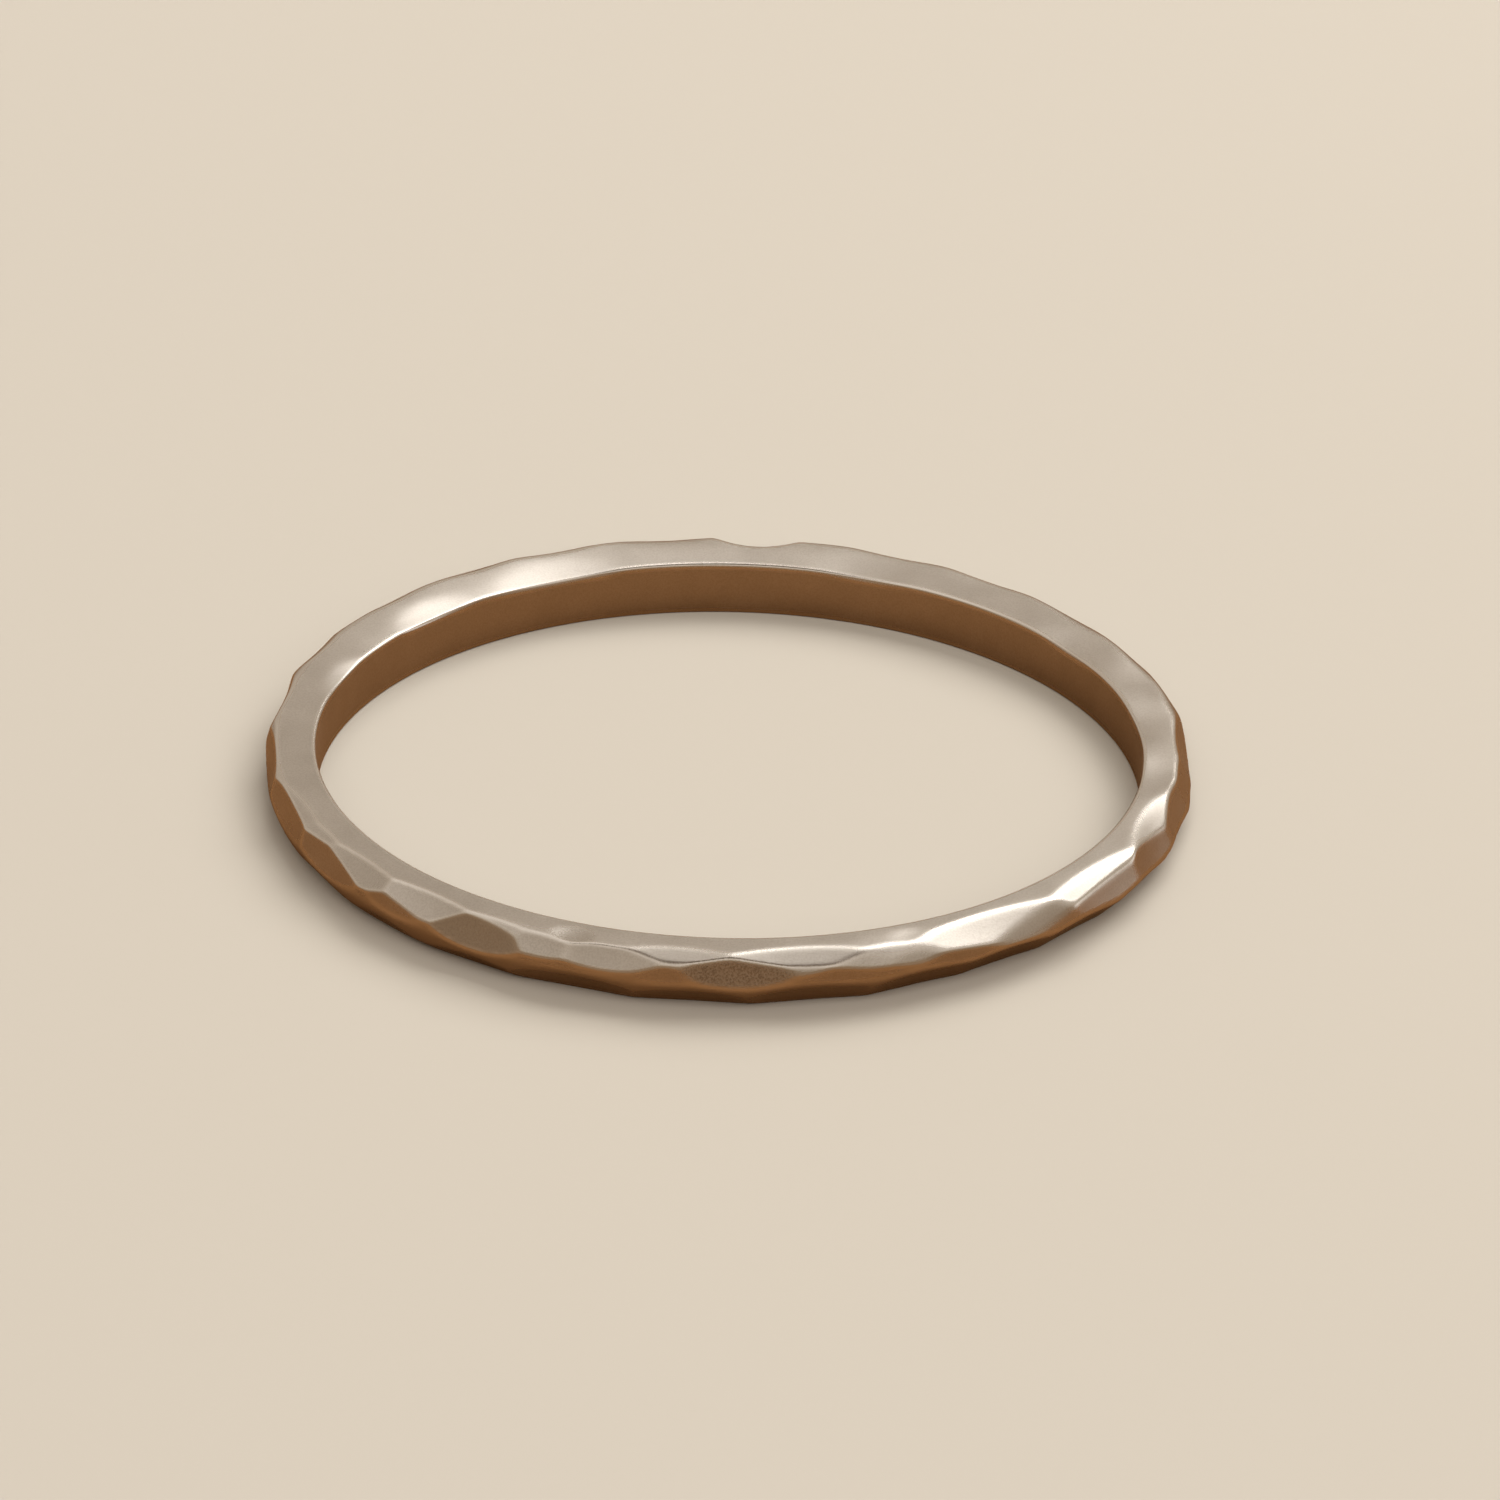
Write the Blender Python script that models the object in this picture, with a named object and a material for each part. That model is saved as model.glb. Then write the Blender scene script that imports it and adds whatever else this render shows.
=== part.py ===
"""Hammered silver wedding band, one solid piece of wire closed into a ring.

Units are metres. +Z is the ring's axis and +Y points to its far side. The band lies flat on the
plane z = 0, and the origin is the centre of the finger hole on that plane.

The band is made as it is at the bench: a plain ring blank is spun from the section of the wire,
and hammer blows then press facets into its outer side and its upper rim. The finger side stays
smooth, and a flat land stays on the underside, where the band rests.
"""

import math
import random

import bmesh
import bpy
from mathutils import Vector

# ---- driving dimensions -------------------------------------------------------------------------
BORE_DIAMETER = 0.0173  # finger hole, about US size 7
BAND_WIDTH = 0.0012  # along the finger
WALL_THICKNESS = 0.00112  # from the finger hole out, before hammering
WALL_SWELL = 0.00014  # the wall is thicker by this on one side and thinner on the other
SWELL_AZIMUTH = 72.0  # degrees, where the wall is thickest
HEAVY_AZIMUTH = 100.0  # degrees, the middle of the half where the wire is heavier still
HEAVY_WALL = 0.00015  # what that half adds to the wall
HEAVY_RIM = 0.00022  # what it adds to the height of the rim's outer edge
BORE_EDGE_RADIUS = 0.00006  # the two edges that touch the finger
UPPER_EDGE_RADIUS = 0.00032  # outer edge, top
LOWER_EDGE_RADIUS = 0.00072  # outer edge, bottom
SMALLEST_FLAT = 0.00008  # of wall or rim that stays between two rounded edges

# ---- how finely the surface is divided ----------------------------------------------------------
STEPS_ROUND = 216
UPPER_EDGE_STEPS = 5
LOWER_EDGE_STEPS = 5
BORE_EDGE_STEPS = 2
RIM_STEPS = 3

# ---- hammer blows -------------------------------------------------------------------------------
# Each blow is (azimuth, tilt, depth, peen radius). The azimuth goes round the band from +X, and
# the tilt is the facet's outward slope: 0 faces straight out, 90 straight up, -90 straight down.
# Angles are in degrees. The depth below the blank and the radius of the hammer's face are in mm.
SHOULDER_BLOWS = [
    (203, 72, 0.06, 16),
    (210, 66, 0.07, 12),
    (219, 54, 0.16, 12),
    (231, 54, 0.19, 9),
    (241, 54, 0.13, 12),
    (247, 44, 0.14, 9),
    (256, 42, 0.15, 12),
    (264.5, 46, 0.06, 14),
    (271.5, 20, 0.155, 13),
    (278.5, 37, 0.07, 10),
    (287.5, 44, 0.09, 12),
    (294, 40, 0.11, 10),
    (303, 64, 0.21, 16),
    (309, 40, 0.20, 11),
    (322, 64, 0.17, 14),
    (340, 66, 0.20, 9),
    (87, 45, 0.23, 2.5),
]
WALL_BLOWS = [
    (158, 16, 0.10, 14),
    (172, 18, 0.16, 14),
    (186, 16, 0.17, 14),
    (200, 18, 0.17, 14),
    (213, 17, 0.17, 12),
    (227, 15, 0.09, 10),
    (239, 29, 0.23, 6),
    (263, 8, 0.05, 14),
    (284, 4, 0.03, 20),
    (299, 8, 0.09, 12),
    (313, 12, 0.10, 14),
    (324, 22, 0.24, 12),
    (336, 22, 0.30, 9),
    (347, 22, 0.35, 9),
    (354, 22, 0.30, 12),
    (1, 24, 0.29, 12),
]
RIM_BLOWS = [
    (118, 100, 0.085, 14),
    (130, 97, 0.03, 20),
    (139, 101, 0.085, 10),
    (151, 97, 0.03, 16),
    (163, 101, 0.05, 10),
    (251, 86, 0.06, 2.5),
    (293, 86, 0.045, 2.5),
    (351, 93, 0.05, 6),
    (8, 94, 0.05, 9),
    (20, 82, 0.03, 9),
    (32, 95, 0.05, 9),
    (70, 94, 0.04, 12),
    (248, 80, 0.04, 30),
    (256, 86, 0.02, 20),
    (264, 72, 0.09, 12),
    (279, 70, 0.12, 16),
    (290, 85, 0.025, 14),
    (292, 64, 0.09, 14),
]
UNDERSIDE_BLOWS = [
    (195, -40, 0.04, 30),
    (210, -45, 0.05, 20),
    (224, -40, 0.04, 20),
    (238, -48, 0.06, 20),
    (252, -45, 0.13, 20),
    (266, -48, 0.12, 20),
    (281, -45, 0.15, 20),
    (296, -46, 0.19, 20),
    (306, -46, 0.21, 20),
    (318, -44, 0.19, 20),
    (331, -45, 0.17, 20),
    (344, -42, 0.14, 20),
]
# The far half repeats a few rows of lighter blows: (first azimuth, last azimuth, spacing, tilt,
# depth, peen radius), each blow varied a little as a hand varies it.
BLOW_ROWS = [
    (12, 70, 14, 52, 0.05, 14),
    (100, 186, 14, 55, 0.04, 14),
    (16, 146, 13, 12, 0.10, 14),
    (358, 540, 15, -44, 0.08, 20),
    (4, 100, 16, 82, 0.02, 30),
]
HAND_VARIATION = (2.0, 4.0, 0.012)  # degrees of azimuth, degrees of tilt, mm of depth
VARIATION_SEED = 7
FACET_HALF_ANGLE = 32.0  # degrees round the band: no facet is longer than this on either side

SHARP_ANGLE = 12.0  # degrees between two faces, above which the edge between them is a ridge
MM = 0.001
SILVER_COLOUR = (0.72, 0.68, 0.62, 1.0)
SILVER_ROUGHNESS = 0.3


def section_sizes():
    """The lower and upper edge radii, each held back where the section has no room for it."""
    upper = min(UPPER_EDGE_RADIUS, WALL_THICKNESS - BORE_EDGE_RADIUS - SMALLEST_FLAT)
    room = min(
        BAND_WIDTH - upper - SMALLEST_FLAT,
        WALL_THICKNESS - BORE_EDGE_RADIUS - SMALLEST_FLAT,
    )
    return min(LOWER_EDGE_RADIUS, room), upper


def arc(centre_out, centre_up, radius, first, last, steps):
    """Points along an arc in the section, its angles in degrees from straight out."""
    points = []
    for step in range(steps + 1):
        angle = math.radians(first + (last - first) * step / steps)
        out = centre_out + radius * math.cos(angle)
        up = centre_up + radius * math.sin(angle)
        points.append((out, up))
    return points


def blank_outline():
    """The wire's section as (distance out from the finger hole, height), anticlockwise."""
    lower, upper = section_sizes()
    edge = BORE_EDGE_RADIUS
    top = BAND_WIDTH
    outline = arc(WALL_THICKNESS - lower, lower, lower, -90, 0, LOWER_EDGE_STEPS)
    outline += arc(WALL_THICKNESS - upper, top - upper, upper, 0, 90, UPPER_EDGE_STEPS)
    rim_start = WALL_THICKNESS - upper
    for step in range(1, RIM_STEPS):
        outline.append((rim_start + (edge - rim_start) * step / RIM_STEPS, top))
    outline += arc(edge, top - edge, edge, 90, 180, BORE_EDGE_STEPS)
    outline += arc(edge, edge, edge, 180, 270, BORE_EDGE_STEPS)
    return outline


def support(tilt):
    """How far the blank reaches from its section's centre, measured along a facet's normal."""
    lower, upper = section_sizes()
    half_wall = WALL_THICKNESS / 2
    half_width = BAND_WIDTH / 2
    if tilt < 0:
        out, up, radius = half_wall - lower, lower - half_width, lower
    elif tilt < math.pi / 2:
        out, up, radius = half_wall - upper, half_width - upper, upper
    else:
        radius = BORE_EDGE_RADIUS
        out, up = radius - half_wall, half_width - radius
    return out * math.cos(tilt) + up * math.sin(tilt) + radius


def section_centre(azimuth):
    radius = BORE_DIAMETER / 2 + WALL_THICKNESS / 2
    return Vector((radius * math.cos(azimuth), radius * math.sin(azimuth), BAND_WIDTH / 2))


def section_direction(azimuth, tilt):
    out = math.cos(tilt)
    return Vector((out * math.cos(azimuth), out * math.sin(azimuth), math.sin(tilt)))


def row_blows():
    """The far half's blows, spaced evenly and then varied."""
    hand = random.Random(VARIATION_SEED)
    blows = []
    for first, last, spacing, tilt, depth, peen in BLOW_ROWS:
        for step in range(int((last - first) / spacing) + 1):
            azimuth = first + spacing * step + hand.uniform(-1, 1) * HAND_VARIATION[0]
            varied_tilt = tilt + hand.uniform(-1, 1) * HAND_VARIATION[1]
            varied_depth = depth + hand.uniform(-1, 1) * HAND_VARIATION[2]
            blows.append((azimuth % 360, varied_tilt, varied_depth, peen))
    return blows


def hammer_faces():
    """Each blow as the azimuth, centre and radius of the ball that its hammer face is part of."""
    blows = SHOULDER_BLOWS + WALL_BLOWS + RIM_BLOWS + UNDERSIDE_BLOWS + row_blows()
    faces = []
    for azimuth_degrees, tilt_degrees, depth, peen in blows:
        azimuth = math.radians(azimuth_degrees)
        tilt = math.radians(tilt_degrees)
        reach = support(tilt) - depth * MM + peen * MM
        centre = section_centre(azimuth) + section_direction(azimuth, tilt) * reach
        faces.append((azimuth, centre, peen * MM))
    return faces


def reach_to_face(start, direction, ball_centre, ball_radius):
    """Distance along a ray from inside the wire to a hammer face, or None where it misses."""
    to_ball = ball_centre - start
    along = direction.dot(to_ball)
    under_root = along * along - to_ball.length_squared + ball_radius * ball_radius
    if along <= 0 or under_root <= 0:
        return None
    return along - math.sqrt(under_root)


def hammered(point, faces):
    """The point of the blank moved in to the deepest hammer face that covers it."""
    azimuth = math.atan2(point.y, point.x)
    start = section_centre(azimuth)
    direction = point - start
    reach = direction.length
    direction.normalize()
    covered = math.cos(math.radians(FACET_HALF_ANGLE))
    for face_azimuth, ball_centre, ball_radius in faces:
        if math.cos(azimuth - face_azimuth) < covered:
            continue
        distance = reach_to_face(start, direction, ball_centre, ball_radius)
        if distance is not None and distance < reach:
            reach = distance
    return start + direction * reach


def swollen(point):
    """The point moved with the wall and the rim where the wire is thicker or thinner."""
    bore = BORE_DIAMETER / 2
    azimuth = math.atan2(point.y, point.x)
    from_bore = math.hypot(point.x, point.y) - bore
    heavy = max(0, math.cos(azimuth - math.radians(HEAVY_AZIMUTH)))
    swell = WALL_SWELL * math.cos(azimuth - math.radians(SWELL_AZIMUTH)) + HEAVY_WALL * heavy
    rise = HEAVY_RIM * heavy * from_bore / WALL_THICKNESS
    radius = bore + from_bore * (1 + swell / WALL_THICKNESS)
    height = point.z * (1 + rise / BAND_WIDTH)
    return Vector((radius * math.cos(azimuth), radius * math.sin(azimuth), height))


def spun_blank():
    """The plain ring, spun once round +Z from the section of the wire."""
    mesh = bmesh.new()
    corners = []
    for out, up in blank_outline():
        corners.append(mesh.verts.new((BORE_DIAMETER / 2 + out, 0, up)))
    edges = []
    for index, corner in enumerate(corners):
        edges.append(mesh.edges.new((corner, corners[(index + 1) % len(corners)])))
    bmesh.ops.spin(
        mesh,
        geom=corners + edges,
        cent=(0, 0, 0),
        axis=(0, 0, 1),
        angle=math.tau,
        steps=STEPS_ROUND,
        use_merge=True,
    )
    bmesh.ops.recalc_face_normals(mesh, faces=mesh.faces)
    return mesh


def silver():
    material = bpy.data.materials.new("silver")
    material.use_nodes = True
    shader = material.node_tree.nodes["Principled BSDF"]
    shader.inputs["Base Color"].default_value = SILVER_COLOUR
    shader.inputs["Metallic"].default_value = 1.0
    shader.inputs["Roughness"].default_value = SILVER_ROUGHNESS
    return material


def make_band():
    mesh = spun_blank()
    faces = hammer_faces()
    for vertex in mesh.verts:
        vertex.co = swollen(hammered(vertex.co.copy(), faces))
    bmesh.ops.triangulate(mesh, faces=mesh.faces)
    data = bpy.data.meshes.new("band")
    mesh.to_mesh(data)
    mesh.free()
    data.materials.append(silver())
    data.shade_smooth()
    data.set_sharp_from_angle(angle=math.radians(SHARP_ANGLE))
    band = bpy.data.objects.new("band", data)
    bpy.context.scene.collection.objects.link(band)
    return band


for old in list(bpy.data.objects):
    bpy.data.objects.remove(old, do_unlink=True)
make_band()
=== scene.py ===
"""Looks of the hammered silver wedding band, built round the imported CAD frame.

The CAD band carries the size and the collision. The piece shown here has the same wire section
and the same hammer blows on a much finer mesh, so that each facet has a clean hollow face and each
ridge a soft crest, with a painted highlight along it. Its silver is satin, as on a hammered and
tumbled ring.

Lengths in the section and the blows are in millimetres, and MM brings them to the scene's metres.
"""

import math
import random

import bpy
import numpy as np
from mathutils import Matrix, Vector


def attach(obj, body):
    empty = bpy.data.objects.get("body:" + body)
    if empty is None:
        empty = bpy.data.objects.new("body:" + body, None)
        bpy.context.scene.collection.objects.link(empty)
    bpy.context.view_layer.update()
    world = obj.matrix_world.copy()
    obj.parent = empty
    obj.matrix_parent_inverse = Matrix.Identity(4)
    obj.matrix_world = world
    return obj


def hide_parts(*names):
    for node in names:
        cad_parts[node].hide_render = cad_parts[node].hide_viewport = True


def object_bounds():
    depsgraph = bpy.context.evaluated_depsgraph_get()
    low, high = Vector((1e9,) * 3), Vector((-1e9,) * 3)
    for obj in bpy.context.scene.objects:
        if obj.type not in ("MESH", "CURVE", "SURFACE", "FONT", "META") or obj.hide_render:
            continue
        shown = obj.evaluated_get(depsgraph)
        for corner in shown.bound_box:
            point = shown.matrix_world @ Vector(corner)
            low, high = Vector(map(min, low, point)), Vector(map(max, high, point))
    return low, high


MM = 0.001
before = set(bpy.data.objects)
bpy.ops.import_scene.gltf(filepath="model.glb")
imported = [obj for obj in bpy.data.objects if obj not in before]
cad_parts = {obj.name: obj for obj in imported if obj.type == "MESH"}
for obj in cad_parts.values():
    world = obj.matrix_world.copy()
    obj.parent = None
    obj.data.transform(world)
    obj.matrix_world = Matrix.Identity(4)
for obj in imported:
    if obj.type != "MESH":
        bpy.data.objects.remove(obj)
CAD_LOW, CAD_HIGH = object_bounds()

# ---- sizes, from the frame where it has them ----------------------------------------------------
BAND_NODE = "band"
band_points = np.array([v.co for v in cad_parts[BAND_NODE].data.vertices]) / MM
BORE = float(np.hypot(band_points[:, 0], band_points[:, 1]).min())  # radius of the finger hole
WIDTH = 1.20  # along the finger, before hammering
WALL = 1.12  # from the finger hole out, before hammering
SWELL = 0.14  # the wall is thicker by this on one side and thinner on the other
SWELL_AZIMUTH = 72.0  # degrees, where the wall is thickest
HEAVY_AZIMUTH = 100.0  # degrees, the middle of the half where the wire is heavier still
HEAVY_WALL = 0.15  # what that half adds to the wall
HEAVY_RIM = 0.22  # what it adds to the height of the rim's outer edge
BORE_EDGE = 0.06  # radius of the two edges that touch the finger
UPPER_EDGE = 0.32  # radius of the outer edge, top
LOWER_EDGE = 0.72  # radius of the outer edge, bottom

# ---- how finely the surface is divided ----------------------------------------------------------
STEPS_ROUND = 1300  # sections round the band; the other counts are along one section
LOWER_EDGE_STEPS = 17
FLANK_STEPS = 3
UPPER_EDGE_STEPS = 13
RIM_STEPS = 15
BORE_EDGE_STEPS = 4
BORE_STEPS = 12
LAND_STEPS = 3

# ---- ridges and grit ----------------------------------------------------------------------------
RIDGE_ROUNDING = 0.021  # how softly two facets meet, on the whole
ROUNDING_SWING = 0.012  # added where the ridges are softest, and taken away opposite
SOFTEST_AZIMUTH = 30.0  # degrees
CREST = 0.002  # how far a point stands out from its neighbours on a full ridge
GRITTY_BLOW = 8  # place in SHOULDER_BLOWS, from 0, of the blow that left a sandy face
FINE_GRIT = 0.25  # how gritty the other faces are, against that one

# ---- hammer blows, as the CAD band has them: (azimuth, tilt, depth, peen radius) ----------------
SHOULDER_BLOWS = [
    (203, 72, 0.06, 16),
    (210, 66, 0.07, 12),
    (219, 54, 0.16, 12),
    (231, 54, 0.19, 9),
    (241, 54, 0.13, 12),
    (247, 44, 0.14, 9),
    (256, 42, 0.15, 12),
    (264.5, 46, 0.06, 14),
    (271.5, 20, 0.155, 13),
    (278.5, 37, 0.07, 10),
    (287.5, 44, 0.09, 12),
    (294, 40, 0.11, 10),
    (303, 64, 0.21, 16),
    (309, 40, 0.20, 11),
    (322, 64, 0.17, 14),
    (340, 66, 0.20, 9),
    (87, 45, 0.23, 2.5),
]
WALL_BLOWS = [
    (158, 16, 0.10, 14),
    (172, 18, 0.16, 14),
    (186, 16, 0.17, 14),
    (200, 18, 0.17, 14),
    (213, 17, 0.17, 12),
    (227, 15, 0.09, 10),
    (239, 29, 0.23, 6),
    (263, 8, 0.05, 14),
    (284, 4, 0.03, 20),
    (299, 8, 0.09, 12),
    (313, 12, 0.10, 14),
    (324, 22, 0.24, 12),
    (336, 22, 0.30, 9),
    (347, 22, 0.35, 9),
    (354, 22, 0.30, 12),
    (1, 24, 0.29, 12),
]
RIM_BLOWS = [
    (118, 100, 0.085, 14),
    (130, 97, 0.03, 20),
    (139, 101, 0.085, 10),
    (151, 97, 0.03, 16),
    (163, 101, 0.05, 10),
    (251, 86, 0.06, 2.5),
    (293, 86, 0.045, 2.5),
    (351, 93, 0.05, 6),
    (8, 94, 0.05, 9),
    (20, 82, 0.03, 9),
    (32, 95, 0.05, 9),
    (70, 94, 0.04, 12),
    (248, 80, 0.04, 30),
    (256, 86, 0.02, 20),
    (264, 72, 0.09, 12),
    (279, 70, 0.12, 16),
    (290, 85, 0.025, 14),
    (292, 64, 0.09, 14),
]
UNDERSIDE_BLOWS = [
    (195, -40, 0.04, 30),
    (210, -45, 0.05, 20),
    (224, -40, 0.04, 20),
    (238, -48, 0.06, 20),
    (252, -45, 0.13, 20),
    (266, -48, 0.12, 20),
    (281, -45, 0.15, 20),
    (296, -46, 0.19, 20),
    (306, -46, 0.21, 20),
    (318, -44, 0.19, 20),
    (331, -45, 0.17, 20),
    (344, -42, 0.14, 20),
]
# Rows of lighter blows on the far half: (first azimuth, last azimuth, spacing, tilt, depth, peen).
BLOW_ROWS = [
    (12, 70, 14, 52, 0.05, 14),
    (100, 186, 14, 55, 0.04, 14),
    (16, 146, 13, 12, 0.10, 14),
    (358, 540, 15, -44, 0.08, 20),
    (4, 100, 16, 82, 0.02, 30),
]
HAND_VARIATION = (2.0, 4.0, 0.012)  # degrees of azimuth, degrees of tilt, mm of depth
VARIATION_SEED = 7
FACET_HALF_ANGLE = 32.0  # degrees round the band: no facet is longer than this on either side

# ---- camera and light ---------------------------------------------------------------------------
CAMERA_DISTANCE = 12.0 * BORE * MM
CAMERA_ELEVATION = 27.26  # degrees
CAMERA_ROLL = 1.23  # degrees
CAMERA_LENS = 118.2  # mm, on a 36 mm sensor
CAMERA_SHIFT = (0.0142, 0.0252)

SOFTBOX_COLOUR = (1.0, 0.97, 0.92)
# Softboxes: (azimuth, elevation, distance, width, height, radiance), in degrees and metres.
KEY_BOX = (56.0, 47.0, 0.5, 0.33, 0.26, 1.6)
SIDE_BOX = (15.0, 8.0, 0.6, 0.36, 0.20, 0.40)
# The next two light the floor and leave no reflection in the silver.
FLOOR_KEY_BOX = (60.0, 50.0, 0.5, 0.50, 0.40, 3.4)
FLOOR_FILL_BOX = (285.0, 42.0, 0.8, 1.0, 0.6, 2.3)

FLOOR_SIZE = 4.0
FLOOR_COLOUR = (0.52, 0.49, 0.44)  # as seen
TABLE_COLOUR = (0.175, 0.087, 0.036)  # as reflected in the silver

# The room's light, by elevation in degrees, as linear colour: the -Y side and the +Y side.
NEAR_SIDE_LIGHT = [
    (-90, (0.10, 0.05, 0.02)),
    (0, (0.20, 0.125, 0.07)),
    (12, (0.25, 0.165, 0.10)),
    (25, (0.21, 0.13, 0.07)),
    (38, (0.42, 0.35, 0.27)),
    (50, (0.56, 0.48, 0.40)),
    (66, (0.58, 0.50, 0.42)),
    (74, (0.12, 0.08, 0.05)),
    (90, (0.06, 0.04, 0.025)),
]
FAR_SIDE_LIGHT = [
    (-90, (0.10, 0.05, 0.02)),
    (0, (0.24, 0.17, 0.11)),
    (18, (0.42, 0.345, 0.27)),
    (40, (0.42, 0.345, 0.27)),
    (52, (0.56, 0.48, 0.40)),
    (71, (0.72, 0.64, 0.555)),
    (78, (0.12, 0.08, 0.05)),
    (90, (0.06, 0.04, 0.025)),
]
SIDES_MEET = 0.25  # the light blends where a direction's Y is between minus and plus this

# ---- silver -------------------------------------------------------------------------------------
GRAIN = {"Scale": 24000.0, "Detail": 3.0, "Roughness": 0.6}  # scale per metre, about 0.04 mm
PATCHES = {"Scale": 900.0, "Detail": 4.0, "Roughness": 0.55}  # scale per metre, about 1 mm
TARNISH = [(0.35, (0.76, 0.735, 0.70)), (0.65, (0.82, 0.795, 0.76))]  # by the patches' value
SPECK_RANGE = (0.42, 0.62)  # of the grain's value, from no speck to a full one
SPECK_COLOUR = (0.50, 0.46, 0.42)
# Painted highlight: a lighter colour laid on the ridges where they catch the light.
RIDGE_HIGHLIGHT_COLOUR = (0.98, 0.96, 0.93)
FACET_ROUGHNESS = (0.26, 0.33)  # each facet has its own value between these
PATCH_RANGE = (0.3, 0.7)  # of the patches' value, over which they change the roughness
PATCH_ROUGHNESS = (-0.01, 0.02)  # what the patches add
RIDGE_ROUGHNESS = -0.10  # what a full ridge adds
BUMP_STRENGTH = 0.12
BUMP_HEIGHT = 0.02 * MM


# ---- the band's surface -------------------------------------------------------------------------
def arc(centre_out, centre_up, radius, first, last, steps):
    """Points along an arc of the section, its angles in degrees from straight out."""
    angles = np.radians(np.linspace(first, last, steps + 1))
    return np.column_stack(
        [centre_out + radius * np.cos(angles), centre_up + radius * np.sin(angles)]
    )


def straight(start, end, steps):
    """The points inside a straight stretch, without its two ends."""
    shares = np.linspace(0, 1, steps + 1)[1:-1, None]
    return np.array(start) * (1 - shares) + np.array(end) * shares


def section_outline():
    """The wire's section round its own centre, as (distance out, height), anticlockwise."""
    lower = arc(WALL - LOWER_EDGE, LOWER_EDGE, LOWER_EDGE, -90, 0, LOWER_EDGE_STEPS)
    upper = arc(WALL - UPPER_EDGE, WIDTH - UPPER_EDGE, UPPER_EDGE, 0, 90, UPPER_EDGE_STEPS)
    top_edge = arc(BORE_EDGE, WIDTH - BORE_EDGE, BORE_EDGE, 90, 180, BORE_EDGE_STEPS)
    foot_edge = arc(BORE_EDGE, BORE_EDGE, BORE_EDGE, 180, 270, BORE_EDGE_STEPS)
    stretches = [
        lower,
        straight(lower[-1], upper[0], FLANK_STEPS),
        upper,
        straight(upper[-1], top_edge[0], RIM_STEPS),
        top_edge,
        straight(top_edge[-1], foot_edge[0], BORE_STEPS),
        foot_edge,
        straight(foot_edge[-1], lower[0], LAND_STEPS),
    ]
    return np.vstack(stretches) - (WALL / 2, WIDTH / 2)


def support(tilt):
    """How far the blank reaches from its section's centre, measured along a facet's normal."""
    if tilt < 0:
        out, up, radius = WALL / 2 - LOWER_EDGE, LOWER_EDGE - WIDTH / 2, LOWER_EDGE
    elif tilt < math.pi / 2:
        out, up, radius = WALL / 2 - UPPER_EDGE, WIDTH / 2 - UPPER_EDGE, UPPER_EDGE
    else:
        out, up, radius = BORE_EDGE - WALL / 2, WIDTH / 2 - BORE_EDGE, BORE_EDGE
    return out * math.cos(tilt) + up * math.sin(tilt) + radius


def row_blows():
    """The blows of BLOW_ROWS, spaced evenly and then varied as a hand varies them."""
    hand = random.Random(VARIATION_SEED)
    blows = []
    for first, last, spacing, tilt, depth, peen in BLOW_ROWS:
        for step in range(int((last - first) / spacing) + 1):
            azimuth = first + spacing * step + hand.uniform(-1, 1) * HAND_VARIATION[0]
            varied_tilt = tilt + hand.uniform(-1, 1) * HAND_VARIATION[1]
            varied_depth = depth + hand.uniform(-1, 1) * HAND_VARIATION[2]
            blows.append((azimuth % 360, varied_tilt, varied_depth, peen))
    return blows


def reach_to_face(blow, starts, directions, azimuths):
    """Distance from the section's centre to one hammer face along each ray, infinite off it."""
    azimuth, tilt = math.radians(blow[0]), math.radians(blow[1])
    depth, peen = blow[2], blow[3]
    outward = np.array(
        [
            math.cos(tilt) * math.cos(azimuth),
            math.cos(tilt) * math.sin(azimuth),
            math.sin(tilt),
        ]
    )
    middle = np.array([math.cos(azimuth), math.sin(azimuth), 0.0]) * (BORE + WALL / 2)
    ball = middle + outward * (support(tilt) - depth + peen)
    to_ball = ball - starts
    along = np.einsum("nmk,nk->nm", directions, to_ball)
    under_root = along**2 - (to_ball**2).sum(-1)[:, None] + peen**2
    covered = np.cos(azimuths - azimuth) > math.cos(math.radians(FACET_HALF_ANGLE))
    hit = (along > 0) & (under_root > 0) & covered[:, None]
    return np.where(hit, along - np.sqrt(np.maximum(under_root, 0)), np.inf)


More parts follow.
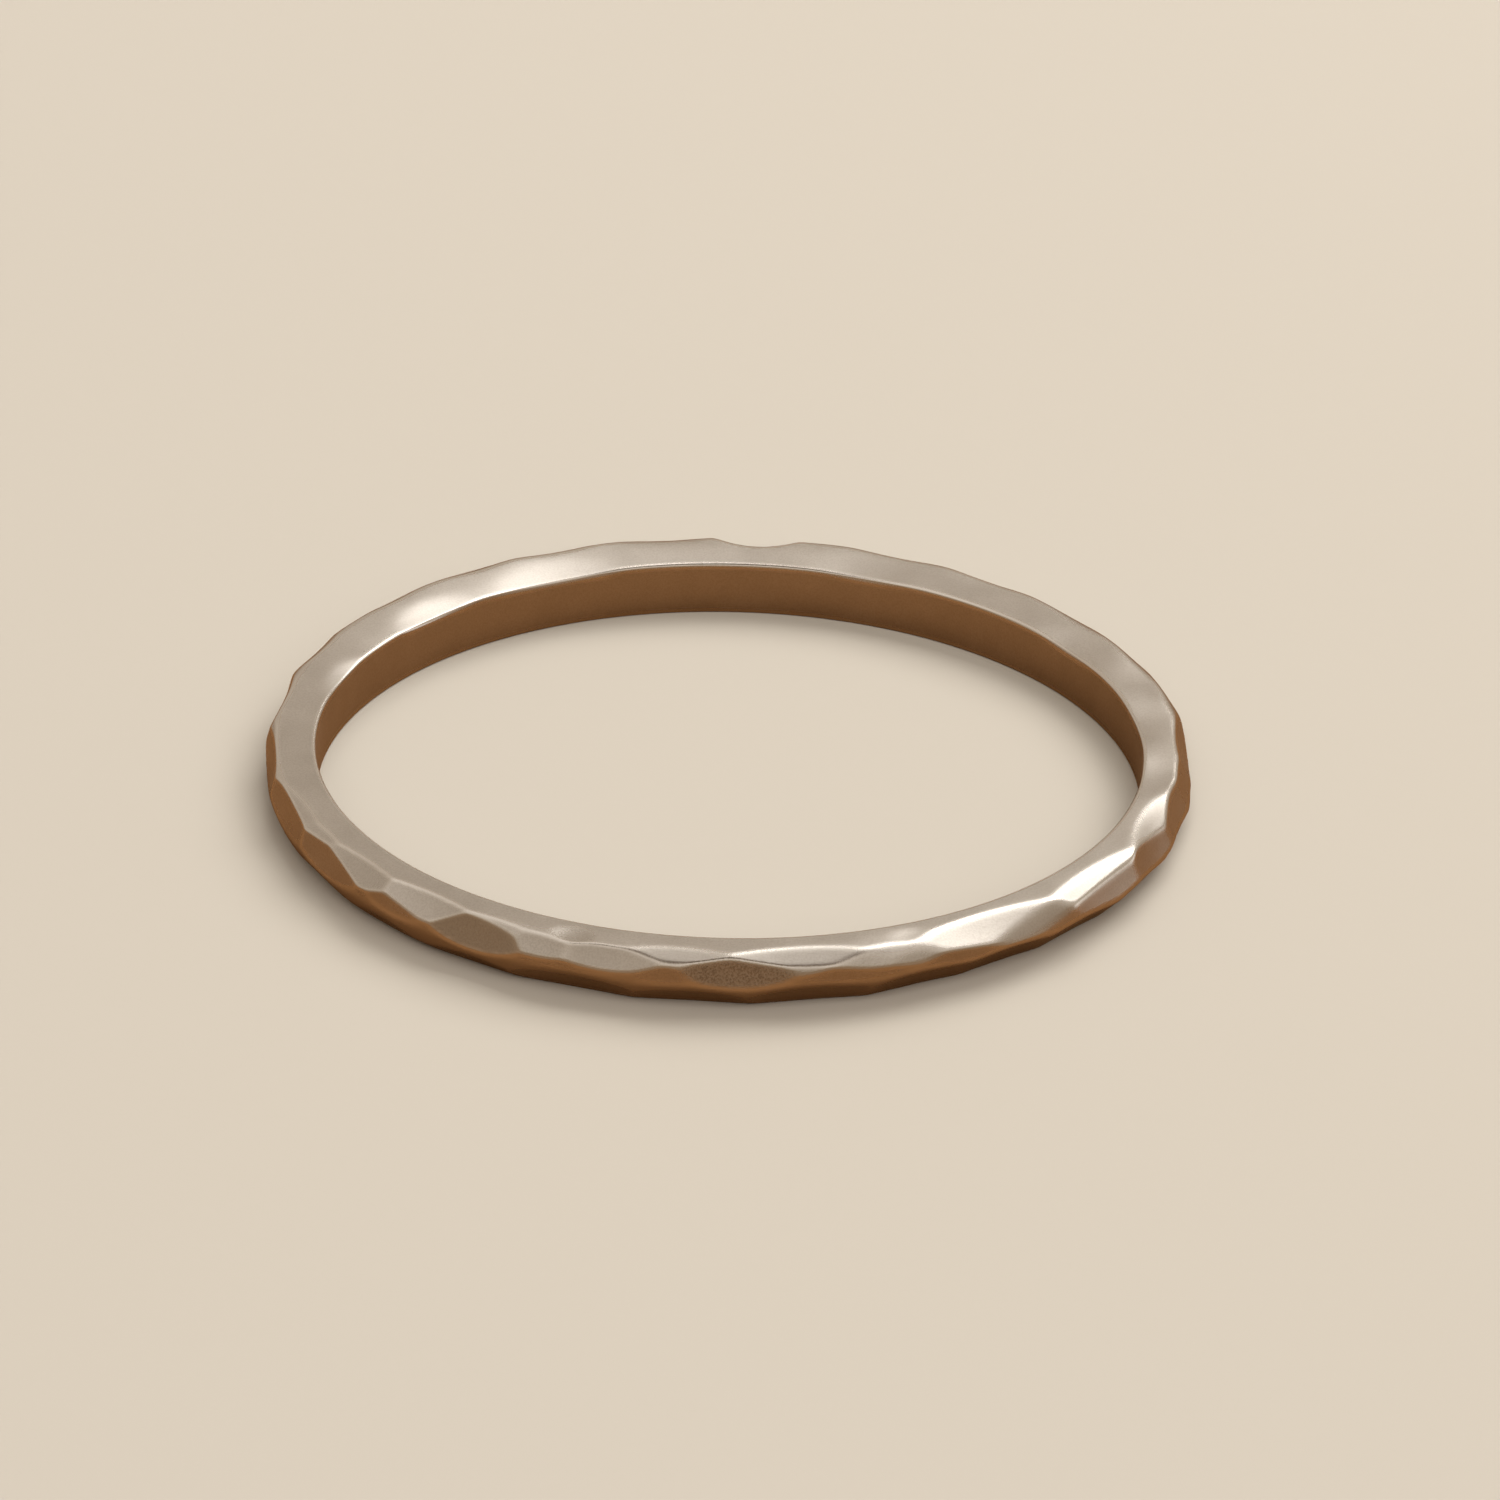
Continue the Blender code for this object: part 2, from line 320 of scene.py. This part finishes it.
def band_surface():
    """Points of the hammered band, one row per azimuth, and the share each blow has in them.

    The first share is the unhammered blank's, and the others follow the order of the blows.
    """
    outline = section_outline()
    azimuths = np.linspace(0, 2 * math.pi, STEPS_ROUND, endpoint=False)
    blank = np.hypot(outline[:, 0], outline[:, 1])
    out, up = (outline / blank[:, None]).T
    round_x, round_y = np.cos(azimuths), np.sin(azimuths)
    starts = np.column_stack([round_x, round_y, np.zeros_like(azimuths)]) * (BORE + WALL / 2)
    directions = np.stack(
        [
            np.outer(round_x, out),
            np.outer(round_y, out),
            np.broadcast_to(up, (len(azimuths), len(up))),
        ],
        axis=-1,
    )
    blows = SHOULDER_BLOWS + WALL_BLOWS + RIM_BLOWS + UNDERSIDE_BLOWS + row_blows()
    reaches = [np.broadcast_to(blank, directions.shape[:2])]
    for blow in blows:
        reaches.append(reach_to_face(blow, starts, directions, azimuths))
    reaches = np.array(reaches)
    nearest = reaches.min(0)
    softness = np.cos(azimuths - math.radians(SOFTEST_AZIMUTH))[:, None]
    rounding = RIDGE_ROUNDING + ROUNDING_SWING * softness
    shares = np.exp((nearest - reaches) / rounding)
    reach = nearest - rounding * np.log(shares.sum(0))
    shares /= shares.sum(0)
    from_bore = WALL / 2 + reach * out
    heavy = np.maximum(0, np.cos(azimuths - math.radians(HEAVY_AZIMUTH)))[:, None]
    swell = SWELL * np.cos(azimuths - math.radians(SWELL_AZIMUTH))[:, None] + HEAVY_WALL * heavy
    rise = HEAVY_RIM * heavy * from_bore / WALL
    radius = BORE + from_bore * (1 + swell / WALL)
    height = (WIDTH / 2 + reach * up) * (1 + rise / WIDTH)
    points = np.stack([radius * round_x[:, None], radius * round_y[:, None], height], axis=-1)
    return points, shares


def crest_height(points):
    """How far each point stands out from the mean of its neighbours, along the normal."""
    ahead, behind = np.roll(points, -1, 0), np.roll(points, 1, 0)
    above, below = np.roll(points, -1, 1), np.roll(points, 1, 1)
    normal = np.cross(ahead - behind, above - below)
    normal /= np.linalg.norm(normal, axis=-1, keepdims=True)
    return ((points - (ahead + behind + above + below) / 4) * normal).sum(-1)


def ring_faces(rounds, around):
    """Quads joining each section to the next, closed both ways."""
    first = np.arange(rounds)[:, None] * around
    after = (np.arange(rounds)[:, None] + 1) % rounds * around
    here = np.arange(around)[None, :]
    beyond = (here + 1) % around
    corners = np.stack([first + here, after + here, after + beyond, first + beyond], axis=-1)
    return corners.reshape(-1, 4)


def make_band():
    """The hammered band's mesh, with each point's facet tone, ridge and grit as attributes."""
    points, shares = band_surface()
    rounds, around = points.shape[:2]
    ridge = np.clip(crest_height(points) / CREST, 0, 1)
    mesh = bpy.data.meshes.new("hammered_band")
    mesh.from_pydata(points.reshape(-1, 3) * MM, [], ring_faces(rounds, around))
    mesh.validate()
    mesh.shade_smooth()
    tones = np.random.default_rng(VARIATION_SEED).uniform(0, 1, len(shares))
    grit = FINE_GRIT + (1 - FINE_GRIT) * shares[1 + GRITTY_BLOW]
    values = {"facet_tone": np.tensordot(tones, shares, 1), "ridge": ridge, "grit": grit}
    for name, value in values.items():
        attribute = mesh.attributes.new(name, "FLOAT", "POINT")
        attribute.data.foreach_set("value", value.astype(np.float32).ravel())
    band = bpy.data.objects.new("hammered_band", mesh)
    bpy.context.scene.collection.objects.link(band)
    return band


# ---- materials ----------------------------------------------------------------------------------
class Nodes:
    """A short way to place and join shader nodes."""

    def __init__(self, tree):
        self.tree = tree

    def add(self, kind, inputs=None, **settings):
        node = self.tree.nodes.new(kind)
        for name, value in settings.items():
            setattr(node, name, value)
        for name, value in (inputs or {}).items():
            socket = node.inputs[name]
            if isinstance(value, bpy.types.NodeSocket):
                self.tree.links.new(value, socket)
            else:
                socket.default_value = value
        return node

    def mix(self, factor, first, second):
        """One colour over another; each is a socket or three numbers."""
        node = self.add("ShaderNodeMix", {"Factor": factor}, data_type="RGBA")
        # Sockets 6 and 7 are the two colours, and output 2 is the mixed one.
        for socket, colour in zip((node.inputs[6], node.inputs[7]), (first, second)):
            if isinstance(colour, bpy.types.NodeSocket):
                self.join(colour, socket)
            else:
                socket.default_value = (*colour, 1.0)
        return node.outputs[2]

    def spread(self, value, source, target, **settings):
        """A value moved from one range to another."""
        inputs = {
            "Value": value,
            "From Min": source[0],
            "From Max": source[1],
            "To Min": target[0],
            "To Max": target[1],
        }
        return self.add("ShaderNodeMapRange", inputs, **settings).outputs["Result"]

    def join(self, output, socket):
        self.tree.links.new(output, socket)


def ramp(nodes, factor, stops):
    """A colour looked up along stops of (position, colour)."""
    node = nodes.add("ShaderNodeValToRGB", {"Fac": factor})
    elements = node.color_ramp.elements
    while len(elements) < len(stops):
        elements.new(0.5)
    for element, (position, colour) in zip(elements, stops):
        element.position = position
        element.color = (*colour, 1.0)
    return node.outputs["Color"]


def silver():
    """Satin silver: fine grain, faint tarnish, a sandy facet, and a painted highlight on the
    ridges.
    """
    material = bpy.data.materials.new("satin_silver")
    material.use_nodes = True
    nodes = Nodes(material.node_tree)
    shader = material.node_tree.nodes["Principled BSDF"]
    place = nodes.add("ShaderNodeTexCoord").outputs["Object"]
    facet = nodes.add("ShaderNodeAttribute", attribute_name="facet_tone").outputs["Fac"]
    ridge = nodes.add("ShaderNodeAttribute", attribute_name="ridge").outputs["Fac"]
    grit = nodes.add("ShaderNodeAttribute", attribute_name="grit").outputs["Fac"]

    grain = nodes.add("ShaderNodeTexNoise", {"Vector": place, **GRAIN}).outputs["Fac"]
    patches = nodes.add("ShaderNodeTexNoise", {"Vector": place, **PATCHES}).outputs["Fac"]
    speck = nodes.spread(grain, SPECK_RANGE, (0.0, 1.0))
    gritty = nodes.add("ShaderNodeMath", {0: speck, 1: grit}, operation="MULTIPLY")
    tarnished = ramp(nodes, patches, TARNISH)
    dusted = nodes.mix(gritty.outputs["Value"], tarnished, SPECK_COLOUR)
    # Painted highlight: the ridges are made lighter in colour, standing in for the light they
    # catch.
    ridge_highlighted = nodes.mix(ridge, dusted, RIDGE_HIGHLIGHT_COLOUR)

    rough_facet = nodes.spread(facet, (0.0, 1.0), FACET_ROUGHNESS)
    rough_patch = nodes.spread(patches, PATCH_RANGE, PATCH_ROUGHNESS)
    rough = nodes.add("ShaderNodeMath", {0: rough_facet, 1: rough_patch}, operation="ADD")
    worn = nodes.add(
        "ShaderNodeMath",
        {0: ridge, 1: RIDGE_ROUGHNESS, 2: rough.outputs["Value"]},
        operation="MULTIPLY_ADD",
    )
    bump = nodes.add(
        "ShaderNodeBump",
        {
            "Height": gritty.outputs["Value"],
            "Strength": BUMP_STRENGTH,
            "Distance": BUMP_HEIGHT,
        },
    )
    nodes.join(ridge_highlighted, shader.inputs["Base Color"])
    nodes.join(worn.outputs["Value"], shader.inputs["Roughness"])
    nodes.join(bump.outputs["Normal"], shader.inputs["Normal"])
    shader.inputs["Metallic"].default_value = 1.0
    return material


def floor_material():
    """Plain and pale to look at, and reflected in the silver as a warm wooden table."""
    material = bpy.data.materials.new("floor")
    material.use_nodes = True
    nodes = Nodes(material.node_tree)
    shader = material.node_tree.nodes["Principled BSDF"]
    path = nodes.add("ShaderNodeLightPath")
    colour = nodes.mix(path.outputs["Is Glossy Ray"], FLOOR_COLOUR, TABLE_COLOUR)
    nodes.join(colour, shader.inputs["Base Color"])
    shader.inputs["Roughness"].default_value = 1.0
    shader.inputs["Specular IOR Level"].default_value = 0.0
    return material


# ---- stage --------------------------------------------------------------------------------------
def make_floor():
    """A plain square floor that the band rests on."""
    half = FLOOR_SIZE / 2
    corners = [(-half, -half, 0), (half, -half, 0), (half, half, 0), (-half, half, 0)]
    mesh = bpy.data.meshes.new("floor")
    mesh.from_pydata(corners, [], [(0, 1, 2, 3)])
    mesh.materials.append(floor_material())
    floor = bpy.data.objects.new("floor", mesh)
    floor.location.z = CAD_LOW.z
    bpy.context.scene.collection.objects.link(floor)


def make_camera():
    """The camera on the -Y side, looking down at the origin and rolled a little."""
    data = bpy.data.cameras.new("camera")
    data.lens = CAMERA_LENS
    data.shift_x, data.shift_y = CAMERA_SHIFT
    data.clip_start = CAMERA_DISTANCE / 100
    camera = bpy.data.objects.new("camera", data)
    elevation = math.radians(CAMERA_ELEVATION)
    tilt = Matrix.Rotation(math.pi / 2 - elevation, 4, "X")
    roll = Matrix.Rotation(math.radians(CAMERA_ROLL), 4, "Z")
    camera.matrix_world = tilt @ roll
    camera.location = (
        0,
        -CAMERA_DISTANCE * math.cos(elevation),
        CAMERA_DISTANCE * math.sin(elevation),
    )
    bpy.context.scene.collection.objects.link(camera)
    bpy.context.scene.camera = camera


def direction_to(azimuth, elevation):
    """The unit vector toward an azimuth and elevation in degrees."""
    azimuth, elevation = math.radians(azimuth), math.radians(elevation)
    return Vector(
        (
            math.cos(elevation) * math.cos(azimuth),
            math.cos(elevation) * math.sin(azimuth),
            math.sin(elevation),
        )
    )


def make_softbox(name, box, seen):
    """A softbox aimed at the origin. One that isn't seen leaves no reflection in the silver."""
    azimuth, elevation, distance, width, height, radiance = box
    data = bpy.data.lights.new(name, "AREA")
    data.shape = "RECTANGLE"
    data.size, data.size_y = width, height
    data.energy = radiance * math.pi * width * height
    data.color = SOFTBOX_COLOUR
    light = bpy.data.objects.new(name, data)
    away = direction_to(azimuth, elevation)
    light.location = away * distance
    light.rotation_euler = away.to_track_quat("Z", "Y").to_euler()
    light.visible_glossy = seen
    bpy.context.scene.collection.objects.link(light)


def light_by_elevation(nodes, height, stops):
    """The light's colour at a height that runs from 0 at -90 degrees to 1 at 90."""
    return ramp(nodes, height, [((angle + 90) / 180, colour) for angle, colour in stops])


def make_world():
    """The room: light that changes with elevation, and from the -Y side to the +Y side."""
    world = bpy.data.worlds.new("room")
    world.use_nodes = True
    bpy.context.scene.world = world
    nodes = Nodes(world.node_tree)
    direction = nodes.add("ShaderNodeTexCoord").outputs["Generated"]
    split = nodes.add("ShaderNodeSeparateXYZ", {"Vector": direction})
    angle = nodes.add("ShaderNodeMath", {0: split.outputs["Z"]}, operation="ARCSINE")
    height = nodes.spread(angle.outputs["Value"], (-math.pi / 2, math.pi / 2), (0.0, 1.0))
    far = nodes.spread(
        split.outputs["Y"],
        (-SIDES_MEET, SIDES_MEET),
        (0.0, 1.0),
        interpolation_type="SMOOTHSTEP",
    )
    near_light = light_by_elevation(nodes, height, NEAR_SIDE_LIGHT)
    far_light = light_by_elevation(nodes, height, FAR_SIDE_LIGHT)
    light = nodes.mix(far, near_light, far_light)
    nodes.join(light, world.node_tree.nodes["Background"].inputs["Color"])


bpy.context.scene.view_settings.view_transform = "Standard"
make_floor()
make_camera()
make_world()
make_softbox("key", KEY_BOX, seen=True)
make_softbox("side", SIDE_BOX, seen=True)
make_softbox("floor_key", FLOOR_KEY_BOX, seen=False)
make_softbox("floor_fill", FLOOR_FILL_BOX, seen=False)
band = make_band()
band.data.materials.append(silver())
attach(band, "root")
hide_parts(BAND_NODE)
